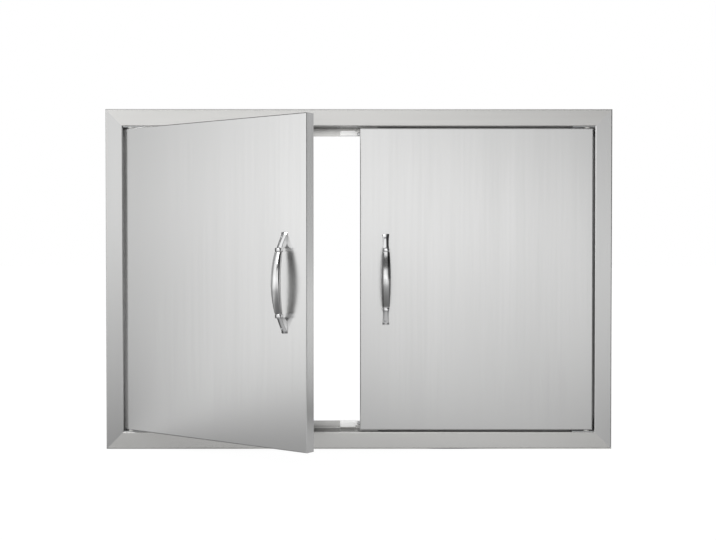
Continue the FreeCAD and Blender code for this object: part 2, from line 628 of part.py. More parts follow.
def pin_bracket(side, end):
    """Folded channel that holds a pivot pin in its two ears."""
    sign = ENDS[end]
    body = new_body(f"{side.title()}{end.title()}PinBracket")
    outer = f"({DOOR_HIGH} - door_sheet)" if end == "top" else f"({DOOR_LOW} + door_sheet)"
    inner = f"({outer} - {sign} * bracket_height)"
    wall = f"{sign} * bracket_sheet"
    corners = [(EAR_FRONT, outer), (WEB_BACK, outer), (WEB_BACK, inner), (EAR_FRONT, inner),
               (EAR_FRONT, f"{inner} + {wall}"), (WEB_FRONT, f"{inner} + {wall}"),
               (WEB_FRONT, f"{outer} - {wall}"), (EAR_FRONT, f"{outer} - {wall}")]
    near = f"({DOOR_HINGE} - door_sheet - free_clearance)"
    low = f"0 - {near}" if side == "left" else f"{near} - bracket_width"
    pad(body, "Channel", "YZ_Plane", low, "bracket_width", [corners])
    bends = [(value(WEB_BACK), value(outer)), (value(WEB_BACK), value(inner))]
    fillet(body, "Bends", "bracket_sheet", edges_along(body.Shape, "X", bends))
    cut_through(body, "PinHoles", "XY_Plane", inner if end == "top" else outer, "bracket_height", (),
                [(f"{SIDES[side]} * {PIVOT_X}", PIVOT_Y, PIN_BORE)])
    if end == "top":
        cut_through(body, "TabSlot", "XZ_Plane", WEB_FRONT, "bracket_sheet", [tab_slot(side)])
    swing(body, side)
    return keep(body, f"{side}_{'upper' if end == 'top' else 'lower'}_pin_bracket")


def lower_pin(side):
    """Fixed pin that carries the door's weight on its thrust collar."""
    radius = "pin_diameter / 2"
    collar = "(door_gap - hinge_plate - bush_flange - free_clearance)"
    tip = "(0 - door_gap - frame_sheet + pin_recess)"
    tail = "(door_sheet + bracket_height + pin_tail)"
    profile = [("0", tip), (f"{radius} - pin_tip", tip), (radius, f"{tip} + pin_tip"),
               (radius, f"0 - {collar}"), ("collar_diameter / 2", f"0 - {collar}"),
               ("collar_diameter / 2", "0"), (radius, "0"), (radius, tail), ("0", tail)]
    body = turned(f"{side.title()}LowerPin", profile)
    swing(body, side, f"({SIDES[side]} * {PIVOT_X})", PIVOT_Y, DOOR_LOW)
    return keep(body, f"{side}_lower_pin")


def upper_pin(side):
    """Sprung pin with the collar that its spring pushes on and the finger tab that draws it back."""
    radius = "pin_diameter / 2"
    tip = "(door_gap + frame_sheet - pin_recess)"
    tail = "(0 - door_sheet - bracket_height - pin_tail)"
    knob_high = "(0 - door_sheet - bracket_sheet - free_clearance)"
    knob_low = f"({knob_high} - knob_height)"
    profile = [("0", tail), (radius, tail), (radius, knob_low), ("knob_diameter / 2", knob_low),
               ("knob_diameter / 2", knob_high), (radius, knob_high), (radius, f"{tip} - pin_tip"),
               (f"{radius} - pin_tip", tip), ("0", tip)]
    body = turned(f"{side.title()}UpperPin", profile)
    reach = "(door_thickness - pivot_depth + tab_reach)"
    pad(body, "Tab", "XZ_Plane", "0", reach, (), [("0", f"({knob_low} + {knob_high}) / 2", "tab_diameter")])
    swing(body, side, f"({SIDES[side]} * {PIVOT_X})", PIVOT_Y, DOOR_HIGH)
    return keep(body, f"{side}_upper_pin")


# Sides of the section that a spring's wire is drawn with
WIRE_SIDES = 6


def pin_spring(side):
    """Compression spring round the upper pin, between its collar and the inner ear."""
    low = "(0 - door_sheet - bracket_height + bracket_sheet + spring_wire / 2 + free_clearance)"
    high = "(0 - door_sheet - bracket_sheet - 2 * free_clearance - knob_height - spring_wire / 2)"
    body = new_body(f"{side.title()}PinSpring")
    wire = []
    for number in range(WIRE_SIDES):
        turn = 2 * math.pi * number / WIRE_SIDES
        wire.append((f"spring_radius + spring_wire / 2 * {math.cos(turn):.6f}",
                     f"{low} + spring_wire / 2 * {math.sin(turn):.6f}"))
    section = new_sketch(body, "Wire", "XZ_Plane", "0", [wire])
    doc.recompute()
    coil = body.newObject("PartDesign::AdditiveHelix", "Coil")
    coil.Profile = section
    coil.ReferenceAxis = (section, ["V_Axis"])
    coil.Mode = "pitch-height-angle"
    bind(coil, "Pitch", f"({high} - {low}) / spring_turns")
    bind(coil, "Height", f"{high} - {low}")
    doc.recompute()
    swing(body, side, f"({SIDES[side]} * {PIVOT_X})", PIVOT_Y, DOOR_HIGH)
    return keep(body, f"{side}_pin_spring")


def rivet_places(side, end):
    """Across and up of the two rivets of a strike plate."""
    edge = DOOR_HIGH if end == "top" else DOOR_LOW
    height = f"{edge} - {ENDS[end]} * (strike_inset + strike_height - rivet_edge)"
    return [(f"{SIDES[side]} * ({STRIKE_X} + {across} * rivet_spacing / 2)", height) for across in (-1, 1)]


def rivet_holes(side):
    return [(x, z, "rivet_diameter") for end in ENDS for x, z in rivet_places(side, end)]


def strike_plates(side):
    """Steel plates on the liner's back, top and bottom, where the magnets take hold."""
    near = f"{SIDES[side]} * ({STRIKE_X} - strike_width / 2)"
    far = f"{SIDES[side]} * ({STRIKE_X} + strike_width / 2)"
    plates = []
    for end, up in ENDS.items():
        edge = DOOR_HIGH if end == "top" else DOOR_LOW
        outline = box_outline(near, far, f"{edge} - {up} * strike_inset",
                              f"{edge} - {up} * (strike_inset + strike_height)")
        holes = [(x, z, "rivet_diameter") for x, z in rivet_places(side, end)]
        plates.append(slab(f"{side.title()}Strike{end.title()}", DOOR_BACK, "strike_sheet", outline, holes))
    swing(group(f"{side}_strike_plates", plates), side)


def strike_rivets(side):
    """Domed rivets through each strike plate and the liner."""
    shank = "rivet_diameter / 2"
    head = "rivet_head / 2"
    inner = "(0 - liner_sheet)"
    profile = [("0", f"{inner} - rivet_tail"), (head, f"{inner} - rivet_tail"), (head, inner), (shank, inner),
               (shank, "strike_sheet"), (head, "strike_sheet"),
               (f"{head} * {CROWN_WIDTH}", "strike_sheet + rivet_tail"), ("0", "strike_sheet + rivet_tail")]
    rivets = []
    for end in ENDS:
        for x, z in rivet_places(side, end):
            rivet = turned(f"{side.title()}Rivet{len(rivets) + 1}", profile, "XY_Plane")
            place(rivet, x, DOOR_BACK, z)
            rivets.append(rivet)
    swing(group(f"{side}_strike_rivets", rivets), side)


# Handle: a bow drawn about its own middle on the door's face, x across, -y out and z along

def bow_out(reach):
    """How far the bow's centre line stands out, at a distance along the handle from its middle."""
    return f"(bow_standoff - bow_radius + sqrt(bow_radius^2 - ({reach})^2))"


def on_bow(thing, reach, tilt="0 deg"):
    """Places something on the bow's centre line, square to it. The tilt brings its own axis to z first."""
    thing.Placement.Rotation = FreeCAD.Rotation(FreeCAD.Vector(1, 0, 0), 1)
    bind(thing, "Placement.Rotation.Angle", f"{tilt} - asin(({reach}) / bow_radius)")
    place(thing, "0", f"0 - {bow_out(reach)}", reach)


# The grip's rounded shoulders start at this share of its half length, with so many spans between them
SHOULDER = 0.94
GRIP_SPANS = 12


def master_grip():
    """Grip swept along the bow, widest at its middle and rounded in at its ends."""
    between = [SHOULDER * (2 * number / GRIP_SPANS - 1) for number in range(GRIP_SPANS + 1)]
    sections = []
    for station in (-1, *between, 1):
        end = "shoulder_share" if abs(station) == 1 else "1"
        section = doc.addObject("Part::Ellipse", "GripSection")
        for radius, size in (("MajorRadius", "grip_width"), ("MinorRadius", "grip_thickness")):
            end_size = size.replace("grip", "grip_end")
            swell = f"({size} - {end_size}) * {1 - station * station:.6f}"
            bind(section, radius, f"({end_size} * {end} + {swell}) / 2")
        on_bow(section, f"{station:.6f} * grip_reach")
        sections.append(section)
    grip = doc.addObject("Part::Loft", "GripMaster")
    grip.Sections = sections
    grip.Solid = True
    grip.Ruled = True
    doc.recompute()
    return grip


def master_foot():
    """Upper foot: flared tail on the door, hollow heel, neck, and the bead next to the grip."""
    body = new_body("FootMaster")
    neck_out = bow_out("foot_start")
    half_neck = "(neck_diameter / 2)"
    side_outline = [(f"0 - {neck_out} - {half_neck}", "foot_start", "foot_bow"),
                    ("0 - foot_edge", "foot_tip"),
                    ("0", "foot_tip"),
                    ("0", "foot_heel", "0 - foot_hollow"),
                    (f"0 - {neck_out} + {half_neck}", "foot_start")]
    pad(body, "Side", "YZ_Plane", "0 - foot_tail / 2", "foot_tail", [side_outline])
    flares = []
    for side in SIDES.values():
        beyond = f"{side} * (foot_tail / 2 + {PAST})"
        flares.append([(f"{side} * foot_neck / 2", f"foot_start - {PAST}"),
                       (f"{side} * foot_neck / 2", "foot_start + foot_bevel", f"{side} * foot_flare"),
                       (f"{side} * foot_tail / 2", "foot_tip"),
                       (beyond, "foot_tip"),
                       (beyond, f"foot_start - {PAST}")])
    cut_through(body, "Flares", "XZ_Plane", f"0 - {neck_out} - {half_neck}",
                f"({neck_out} + {half_neck})", flares)
    pocket(body, "ScrewHole", "XZ_Plane", "0 - screw_bite", f"screw_bite + {PAST}", (),
           [("0", "handle_hole_spacing / 2", "handle_screw")])
    tail = [(value(f"{side} * foot_tail / 2"), value("foot_tip")) for side in SIDES.values()]
    fillet(body, "TailCorners", "foot_corner", edges_along(body.Shape, "Y", tail))
    outer = outer_edges(body.Shape, value("foot_bow"), value("foot_start"))
    chamfer(body, "Bevels", "foot_bevel", outer)
    neck = body.newObject("PartDesign::AdditiveCylinder", "Neck")
    bind(neck, "Radius", "neck_diameter / 2")
    bind(neck, "Height", "(foot_start + foot_bevel - grip_reach) / cos(asin(grip_reach / bow_radius))")
    neck.MapMode = "Deactivated"
    on_bow(neck, "grip_reach")
    doc.recompute()
    add_bead(body)
    return body


def add_bead(body):
    """Turned bead on the neck, with chamfered rims."""
    rim = "bead_diameter / 2"
    half = "bead_length / 2"
    profile = [("0", f"0 - {half}"), (f"{rim} - bead_edge", f"0 - {half}"), (rim, f"bead_edge - {half}"),
               (rim, f"{half} - bead_edge"), (f"{rim} - bead_edge", half), ("0", half)]
    sketch = body.newObject("Sketcher::SketchObject", "BeadProfile")
    draw_outline(sketch, profile)
    sketch.MapMode = "Deactivated"
    on_bow(sketch, "bead_reach", "90 deg")
    bead = body.newObject("PartDesign::Revolution", "Bead")
    bead.Profile = sketch
    bead.ReferenceAxis = (sketch, ["V_Axis"])
    bead.Angle = 360
    doc.recompute()


def outer_edges(shape, radius, start):
    """Edges of the foot's outer curve, all but the one at its neck."""
    names = []
    for face in shape.Faces:
        if not (isinstance(face.Surface, Part.Cylinder) and abs(face.Surface.Radius - radius) < 1e-6):
            continue
        for edge in face.Edges:
            if all(abs(vertex.Z - start) < 1e-4 for vertex in edge.Vertexes):
                continue
            for number, candidate in enumerate(shape.Edges, start=1):
                if candidate.isSame(edge):
                    names.append(f"Edge{number}")
    return names


def handle(side, grip, upper_foot, lower_foot):
    """The bow handle of one door, with the screws that hold it from behind the liner."""
    middle = f"({SIDES[side]} * {HANDLE_X})"
    for label, master in (("grip", grip), ("upper_foot", upper_foot), ("lower_foot", lower_foot)):
        swing(group(f"{side}_handle_{label}", [master]), side, middle, FRONT, MID_HEIGHT)
    face = "washer_sheet"
    length = "(washer_sheet + door_thickness + screw_bite)"
    screws = []
    washers = []
    for up in ENDS.values():
        number = len(screws) + 1
        profile = screw_profile(face, length, "handle_screw", "screw_head", "screw_head_height")
        screw = turned(f"{side.title()}HandleScrew{number}", profile, "XY_Plane")
        ring = [("handle_screw / 2", "0"), ("washer_diameter / 2", "0"),
                ("washer_diameter / 2", "washer_sheet"), ("handle_screw / 2", "washer_sheet")]
        washer = turned(f"{side.title()}HandleWasher{number}", ring, "XY_Plane")
        for piece in (screw, washer):
            place(piece, middle, DOOR_BACK, f"{MID_HEIGHT} + {up} * handle_hole_spacing / 2")
        screws.append(screw)
        washers.append(washer)
    swing(group(f"{side}_handle_screws", screws), side)
    swing(group(f"{side}_handle_washers", washers), side)


def build():
    for end in ENDS:
        cross_rail(end)
    for side in SIDES:
        stile(side)
    for end in ENDS:
        for side in SIDES:
            hinge_plate(end, side)
            pivot_bush(end, side)
        catch_housing(end)
        catch_magnets(end)
        catch_screw(end)
    grip = master_grip()
    upper_foot = master_foot()
    lower_foot = doc.addObject("Part::Mirroring", "LowerFootMaster")
    lower_foot.Source = upper_foot
    lower_foot.Normal = (0, 0, 1)
    for side in SIDES:
        door_pan(side)
        door_liner(side)
        stiffener(side)
        for end in ENDS:
            pin_bracket(side, end)
        lower_pin(side)
        upper_pin(side)
        pin_spring(side)
        strike_plates(side)
        strike_rivets(side)
        handle(side, grip, upper_foot, lower_foot)
    doc.recompute()


def check():
    """Stops if any object failed or any piece is not a sound solid."""
    for thing in doc.Objects:
        if "Invalid" in thing.State or "Error" in thing.State:
            raise RuntimeError(f"{thing.Name} did not recompute: {thing.State}")
        if thing.isDerivedFrom("PartDesign::Feature") and not thing.Shape.isValid():
            raise RuntimeError(f"{thing.Name} ({thing.Label}) has a faulty shape")
    for thing in nodes:
        if thing.Shape.isNull() or not thing.Shape.isValid() or not thing.Shape.Solids:
            raise RuntimeError(f"{thing.Label} has no sound solid")


def write_parts():
    os.makedirs("parts", exist_ok=True)
    for thing in nodes:
        thing.Shape.exportStep(f"parts/{thing.Label}.step")
        print(thing.Label, len(thing.Shape.Solids), round(thing.Shape.Volume))


build()
check()
write_parts()
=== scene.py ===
"""Looks of a double access door for an outdoor kitchen island: finishes, light, floor and camera.

Metres, in the part's own frame: +X to the viewer's right, +Y into the island, +Z up.
"""
import json
import math

import bmesh
import bpy
from mathutils import Matrix, Vector


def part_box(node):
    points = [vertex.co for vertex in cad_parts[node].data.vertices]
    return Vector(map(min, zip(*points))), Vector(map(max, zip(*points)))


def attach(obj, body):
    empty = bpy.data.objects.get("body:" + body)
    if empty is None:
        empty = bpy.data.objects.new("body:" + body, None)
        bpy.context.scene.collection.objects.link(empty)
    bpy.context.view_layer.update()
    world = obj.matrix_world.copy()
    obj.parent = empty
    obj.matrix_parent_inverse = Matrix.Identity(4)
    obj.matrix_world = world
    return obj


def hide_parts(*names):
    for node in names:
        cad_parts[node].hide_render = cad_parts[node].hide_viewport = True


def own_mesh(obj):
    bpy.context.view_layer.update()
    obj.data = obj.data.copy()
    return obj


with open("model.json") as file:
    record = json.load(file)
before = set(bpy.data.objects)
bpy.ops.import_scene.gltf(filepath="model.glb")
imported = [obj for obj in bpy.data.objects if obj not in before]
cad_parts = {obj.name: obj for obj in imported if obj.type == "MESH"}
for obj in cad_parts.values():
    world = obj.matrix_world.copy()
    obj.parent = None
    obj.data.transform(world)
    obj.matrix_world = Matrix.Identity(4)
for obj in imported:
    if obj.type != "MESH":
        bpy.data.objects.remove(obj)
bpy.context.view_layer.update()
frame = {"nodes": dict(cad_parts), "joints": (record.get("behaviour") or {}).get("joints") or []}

scene = bpy.context.scene
scene.view_settings.view_transform = "Standard"

MM = 0.001
SIDES = ("left", "right")
JOINTS = {joint["name"]: joint for joint in frame["joints"]}
FLOOR_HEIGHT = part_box("frame_bottom_rail")[0][2]


# Camera, fitted to the photograph's edges

CAMERA_PLACE = (-1.81 * MM, -1775.0 * MM, 283.95 * MM)
CAMERA_LENS = 57.21
CAMERA_SENSOR = 36.0
CAMERA_PITCH = 0.989
CAMERA_YAW = -0.011
CAMERA_NEAREST = 0.01


def make_camera():
    data = bpy.data.cameras.new("Camera")
    data.lens = CAMERA_LENS
    data.sensor_width = CAMERA_SENSOR
    data.clip_start = CAMERA_NEAREST
    camera = bpy.data.objects.new("Camera", data)
    camera.location = CAMERA_PLACE
    camera.rotation_euler = (math.radians(90 - CAMERA_PITCH), 0, math.radians(CAMERA_YAW))
    scene.collection.objects.link(camera)
    scene.camera = camera


# Node trees

class Tree:
    """Short way to add nodes to a tree and link them."""

    def __init__(self, tree):
        self.tree = tree
        tree.nodes.clear()

    def put(self, socket, source):
        if isinstance(source, bpy.types.NodeSocket):
            self.tree.links.new(source, socket)
        else:
            socket.default_value = source

    def add(self, kind, inputs=None, **settings):
        node = self.tree.nodes.new(kind)
        for name, setting in settings.items():
            setattr(node, name, setting)
        for key, source in (inputs or {}).items():
            self.put(node.inputs[key], source)
        return node

    def coordinates(self, kind="Object"):
        return self.add("ShaderNodeTexCoord").outputs[kind]

    def parts(self, vector):
        return self.add("ShaderNodeSeparateXYZ", {0: vector}).outputs

    def math(self, operation, first, second=0.0, third=0.0):
        inputs = {0: first, 1: second, 2: third}
        return self.add("ShaderNodeMath", inputs, operation=operation).outputs[0]

    def vector(self, operation, first, second, output="Vector"):
        return self.add("ShaderNodeVectorMath", {0: first, 1: second}, operation=operation).outputs[output]

    def spread(self, source, low, high, out_low=0.0, out_high=1.0):
        """Straight ramp between two levels, held at its ends."""
        node = self.add("ShaderNodeMapRange", {"Value": source, "From Min": low, "From Max": high,
                                               "To Min": out_low, "To Max": out_high})
        return node.outputs["Result"]

    def profile(self, source, points):
        """Smooth curve through (place, level) points, held at its ends."""
        low, high = points[0][0], points[-1][0]
        top = max(level for place, level in points)
        node = self.add("ShaderNodeFloatCurve", {"Value": self.spread(source, low, high)})
        spots = [((place - low) / (high - low), level / top) for place, level in points]
        curve = node.mapping.curves[0]
        curve.points[0].location, curve.points[1].location = spots[0], spots[-1]
        for spot in spots[1:-1]:
            curve.points.new(*spot)
        node.mapping.update()
        return self.math("MULTIPLY", node.outputs[0], top)

    def noise(self, vector, scale, detail=2.0, roughness=0.5):
        node = self.add("ShaderNodeTexNoise", {"Vector": vector, "Scale": scale, "Detail": detail,
                                               "Roughness": roughness})
        return node.outputs["Fac"]

    def stretched(self, vector, scale, turn=0.0):
        """Object coordinates, turned about Z and then scaled along each axis."""
        turned = self.add("ShaderNodeMapping", {"Vector": vector, "Rotation": (0, 0, turn)}).outputs[0]
        return self.vector("MULTIPLY", turned, scale)

    def mix(self, factor, first, second):
        node = self.add("ShaderNodeMix", data_type="RGBA")
        for number, source in ((0, factor), (6, first), (7, second)):
            self.put(node.inputs[number], source)
        return node.outputs[2]

    def bump(self, height, strength, depth):
        inputs = {"Height": height, "Strength": strength, "Distance": depth}
        return self.add("ShaderNodeBump", inputs).outputs["Normal"]


def new_material(name):
    material = bpy.data.materials.new(name)
    material.use_nodes = True
    return material, Tree(material.node_tree)


def shade(tone, share=1.0):
    return tuple(channel * share for channel in tone) + (1,)


def finish_surface(tree, colour, roughness, normal, tangent=None, **fixed):
    """Principled surface; fixed values go straight on its own sockets."""
    shader = tree.add("ShaderNodeBsdfPrincipled", {"Base Color": colour, "Roughness": roughness,
                                                   "Normal": normal})
    if tangent is not None:
        tree.put(shader.inputs["Tangent"], tangent)
    for socket, number in fixed.items():
        shader.inputs[socket.replace("_", " ")].default_value = number
    tree.add("ShaderNodeOutputMaterial", {"Surface": shader.outputs[0]})


# Materials

# Hardly tilted, so that an end face that looks along the grain still has a direction
GRAIN_ALONG = {"x": (1, 0, 0.001), "z": (0.001, 0, 1)}
# Brush lines from fine to broad: width, length, detail, and share in the whole. The contrast is that of their
# tone, and the swing that of their roughness
BRUSH_LINES = (
    (0.5 * MM, 60 * MM, 3.0, 0.35),
    (4 * MM, 220 * MM, 2.0, 0.35),
    (38 * MM, 400 * MM, 1.0, 0.30),
)
LINE_ROUGHNESS = 0.55
LINE_CONTRAST = 0.012
LINE_TONE_RANGE = (0.38, 0.62)
LINE_SWING = 0.04
LINE_BUMP = 0.12
POLISH_BUMP = 0.06
SHALLOW = 0.01 * MM
# The painted shade on a rail's inner faces: how level they lie, and where they begin, in depth from the
# island's front
SHADE_LEVEL = (0.8, 0.95)
SHADE_START = (-3 * MM, -1 * MM)
NOISE_RANGE = (0.35, 0.65)
SMEAR_RANGE = (0.3, 0.7)
SMEAR_SCALE = 90.0
SMEAR_TONE = 0.96
SMEAR_ROUGHNESS = 1.3
POLISH_MARKS = (900, 900, 160)
MOULD_SCALE = 60.0
MOULD_GRAIN = 900.0
MOULD_TONE = 0.95
MOULD_SWING = 0.08
MOULD_BUMP = 0.15
MOULD_DEPTH = 0.05 * MM


def brushed_steel(name, along, tone, rough, anisotropy, turn=0.0, inner_shade=1.0):
    """Satin steel, brushed along one axis of the part; the last argument paints shade on a rail's level faces
    behind its front, darkening them to that share.
    """
    material, tree = new_material(name)
    place = tree.coordinates()
    lines = []
    blend = 0.0
    for width, length, detail, share in BRUSH_LINES:
        across, lengthwise = 1 / width, 1 / length
        scale = (lengthwise, across, across) if along == "x" else (across, across, lengthwise)
        lines.append(tree.noise(tree.stretched(place, scale, turn), 1.0, detail, LINE_ROUGHNESS))
        blend = tree.math("MULTIPLY_ADD", lines[-1], share, blend)
    colour = tree.mix(tree.spread(blend, *LINE_TONE_RANGE), shade(tone, 1 - LINE_CONTRAST),
                      shade(tone, 1 + LINE_CONTRAST))
    # Painted shade: a rail's level inner faces behind its front are darkened to a share of its tone
    if inner_shade < 1:
        level = tree.math("ABSOLUTE", tree.parts(tree.coordinates("Normal"))[2])
        behind = tree.spread(tree.parts(place)[1], *SHADE_START)
        painted_shade = tree.math("MULTIPLY", tree.spread(level, *SHADE_LEVEL), behind)
        colour = tree.mix(painted_shade, colour, shade(tone, inner_shade))
    roughness = tree.spread(blend, *NOISE_RANGE, rough * (1 + LINE_SWING), rough * (1 - LINE_SWING))
    normal = tree.add("ShaderNodeNewGeometry").outputs["Normal"]
    grain = tree.add("ShaderNodeVectorTransform", {"Vector": GRAIN_ALONG[along]}, vector_type="VECTOR",
                     convert_from="OBJECT", convert_to="WORLD").outputs[0]
    tangent = tree.vector("CROSS_PRODUCT", normal, grain)
    finish_surface(tree, colour, roughness, tree.bump(lines[0], LINE_BUMP, SHALLOW), tangent,
                   Metallic=1.0, Anisotropic=anisotropy)
    return material


def polished_steel(name, tone, rough, shaded_side=None, kept=0.5, edge=(0.55, 0.95)):
    """Bright steel with smudges and polishing marks; one side may get painted shade, keeping only a share of
    its tone.
    """
    material, tree = new_material(name)
    place = tree.coordinates()
    smears = tree.noise(place, SMEAR_SCALE, 3.0)
    marks = tree.noise(tree.stretched(place, POLISH_MARKS), 1.0, 2.0)
    colour = tree.mix(smears, shade(tone, SMEAR_TONE), shade(tone))
    # Painted shade: the side that faces the given direction is darkened to a share of its tone
    if shaded_side is not None:
        facing = tree.vector("DOT_PRODUCT", tree.coordinates("Normal"), shaded_side, "Value")
        colour = tree.mix(tree.spread(facing, *edge), colour, shade(tone, kept))
    roughness = tree.spread(smears, *SMEAR_RANGE, rough, rough * SMEAR_ROUGHNESS)
    finish_surface(tree, colour, roughness, tree.bump(marks, POLISH_BUMP, SHALLOW), Metallic=1.0)
    return material


def moulded(name, tone, rough, through=0.0):
    """Moulded plastic with a fine even texture, and a painted glow: an emission of its own tone, though it is
    no lamp.
    """
    material, tree = new_material(name)
    place = tree.coordinates()
    patch = tree.noise(place, MOULD_SCALE, 2.0)
    colour = tree.mix(patch, shade(tone, MOULD_TONE), shade(tone))
    roughness = tree.spread(patch, *SMEAR_RANGE, rough * (1 - MOULD_SWING), rough * (1 + MOULD_SWING))
    normal = tree.bump(tree.noise(place, MOULD_GRAIN, 2.0), MOULD_BUMP, MOULD_DEPTH)
    # Painted glow: the plastic emits light of its own tone at the given strength
    finish_surface(tree, colour, roughness, normal, Emission_Strength=through, Emission_Color=shade(tone))
    return material


def assign(material, *names):
    for name in names:
        for slot in frame["nodes"][name].material_slots:
            slot.material = material


# Handles, in each closed door's own place: across is X, out of the door is -Y, reach up the bow is Z

GRIP_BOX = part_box("right_handle_grip")
HANDLE_X = (GRIP_BOX[0][0] + GRIP_BOX[1][0]) / 2
HANDLE_SHIFT = 0.7 * MM
MID_HEIGHT = (GRIP_BOX[0][2] + GRIP_BOX[1][2]) / 2
DOOR_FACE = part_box("right_door_skin")[0][1]
BOW_RADIUS = 151 * MM
# Middle line of the bow, behind the front of the solid grip
BOW_DEPTH = 6.4 * MM
BOW_STANDOFF = DOOR_FACE - GRIP_BOX[0][1] - BOW_DEPTH
RING_POINTS = 40
# Half width and half thickness of the grip
GRIP_MIDDLE = (14.7 / 2 * MM, 9.4 / 2 * MM)
GRIP_END = (11.2 / 2 * MM, 7.6 / 2 * MM)
GRIP_REACH = 43.5 * MM
GRIP_SQUARENESS = 2.7
GRIP_STEPS = 56
# Its ends round off from this share of the reach to this share of the size
SHOULDER_START = 0.92
SHOULDER_SHARE = 0.78
NECK_RADIUS = 3.2 * MM
NECK_START = GRIP_REACH - 0.6 * MM
NECK_STEP = 1.2 * MM
NECK_STATIONS = 6
BEAD_REACH = 46.0 * MM
BEAD_RADIUS = 5.2 * MM
BEAD_HALF = 3.0 * MM
BEAD_ROOT = NECK_RADIUS * 0.9
BEAD_FULLNESS = 5
BEAD_SQUARENESS = 3.0
BEAD_STEPS = 16
FOOT_START = 47.5 * MM
FOOT_HEEL = 54 * MM
FOOT_TIP = 71 * MM
FOOT_EDGE = 1.3 * MM
FOOT_BOW = 160 * MM
FOOT_HOLLOW = 14 * MM
FOOT_NECK = 4.7 * MM
FOOT_TAIL = 5.7 * MM
FOOT_FLARE = 90 * MM
FOOT_CORNER = 1.6 * MM
FOOT_STEPS = 30
FOOT_CORNER_STEPS = 6
RIDGE_SLOPE = 0.5
RIDGE_LIMIT = 0.7
RIDGE_ROUND = 2.2 * MM
EDGE_ROUND = 0.6 * MM
# Largest share of an edge that a rounded corner takes, and the steps round it
ROUND_LIMIT = 0.45
ROUND_STEPS = 4
# Directions on a closed door that the sides with painted shade look in: a grip's rear, and the left flank of
# a foot
GRIP_SHADED_SIDE = (0.585, 0.811, 0)
FOOT_SHADED_SIDE = (-0.447, -0.894, 0)
GRIP_TONE = (0.74, 0.74, 0.74)
CHROME = ((0.8, 0.8, 0.805), 0.06)


def closed_to_rest(side):
    """Turn of a door about its pivot, from closed to where it stands at rest."""
    joint = JOINTS[f"{side}_door_hinge"]
    turn = -math.radians(joint["range_deg"][0]) * joint["axis"][2]
    pivot = Matrix.Translation(joint["pos_m"])
    return pivot @ Matrix.Rotation(turn, 4, "Z") @ pivot.inverted()


def handle_place(side):
    across = HANDLE_X if side == "right" else -HANDLE_X
    return closed_to_rest(side) @ Matrix.Translation((across + HANDLE_SHIFT, DOOR_FACE, MID_HEIGHT))


def rest_direction(side, direction):
    """A direction on the closed door, as it points at rest."""
    return tuple(closed_to_rest(side).to_3x3() @ Vector(direction))


def bow_out(reach):
    """How far the bow's middle line stands out from the door."""
    return BOW_STANDOFF - BOW_RADIUS + math.sqrt(BOW_RADIUS ** 2 - reach ** 2)


def arc_between(first, second, radius):
    """Height of an arc between two (reach, height) points; a positive radius bulges up."""
    run, rise = second[0] - first[0], second[1] - first[1]
    chord = math.hypot(run, rise)
    sag = math.copysign(math.sqrt(radius ** 2 - chord ** 2 / 4), radius)
    middle_reach = (first[0] + second[0]) / 2 + rise / chord * sag
    middle_height = (first[1] + second[1]) / 2 - run / chord * sag

    def height(reach):
        rest = math.sqrt(max(radius ** 2 - (reach - middle_reach) ** 2, 0))
        return middle_height + math.copysign(rest, radius)

    return height


def add_rings(shell, rings):
    """Closed shell through rings of points, capped at both ends."""
    loops = [[shell.verts.new(point) for point in ring] for ring in rings]
    count = len(loops[0])
    for low, high in zip(loops, loops[1:]):
        for number in range(count):
            after = (number + 1) % count
            shell.faces.new((low[number], low[after], high[after], high[number]))
    shell.faces.new(reversed(loops[0]))
    shell.faces.new(loops[-1])


def ring_shape(squareness=2.0):
    """Points round a circle, or round a square with soft corners where the squareness is over 2."""
    shape = []
    for number in range(RING_POINTS):
        angle = math.tau * number / RING_POINTS
        across, out = math.cos(angle), math.sin(angle)
        fill = (abs(across) ** squareness + abs(out) ** squareness) ** (-1 / squareness)
        shape.append((across * fill, out * fill))
    return shape


def add_round(shell, stations, shape):
    """Shell along the bow, through (reach, half width, half thickness) stations."""
    rings = []
    for reach, half_width, half_thickness in stations:
        centre = Vector((0, -bow_out(reach), reach))
        tilt = math.asin(reach / BOW_RADIUS)
        outward = Vector((0, -math.cos(tilt), math.sin(tilt)))
        rings.append([centre + Vector((half_width * across, 0, 0)) + outward * half_thickness * out
                      for across, out in shape])
    add_rings(shell, rings)


def rounded(corners, radii):
    """Outline through the corners, each cut by a small curve of its own size."""
    outline = []
    for number, (corner, radius) in enumerate(zip(corners, radii)):
        before, after = corners[number - 1] - corner, corners[(number + 1) % len(corners)] - corner
        start = corner + before.normalized() * min(radius, before.length * ROUND_LIMIT)
        end = corner + after.normalized() * min(radius, after.length * ROUND_LIMIT)
        for step in range(ROUND_STEPS + 1):
            share = step / ROUND_STEPS
            outline.append(start * (1 - share) ** 2 + corner * 2 * share * (1 - share) + end * share ** 2)
    return outline


def grip_shell(shell):
    stations = []
    for number in range(GRIP_STEPS + 1):
        place = -math.cos(math.pi * number / GRIP_STEPS)
        past = max(abs(place) - SHOULDER_START, 0) / (1 - SHOULDER_START)
        fall = SHOULDER_SHARE + (1 - SHOULDER_SHARE) * math.sqrt(max(1 - past * past, 0))
        swell = 1 - place * place
        sizes = [(end + (middle - end) * swell) * fall for middle, end in zip(GRIP_MIDDLE, GRIP_END)]
        stations.append((place * GRIP_REACH, *sizes))
    add_round(shell, stations, ring_shape(GRIP_SQUARENESS))


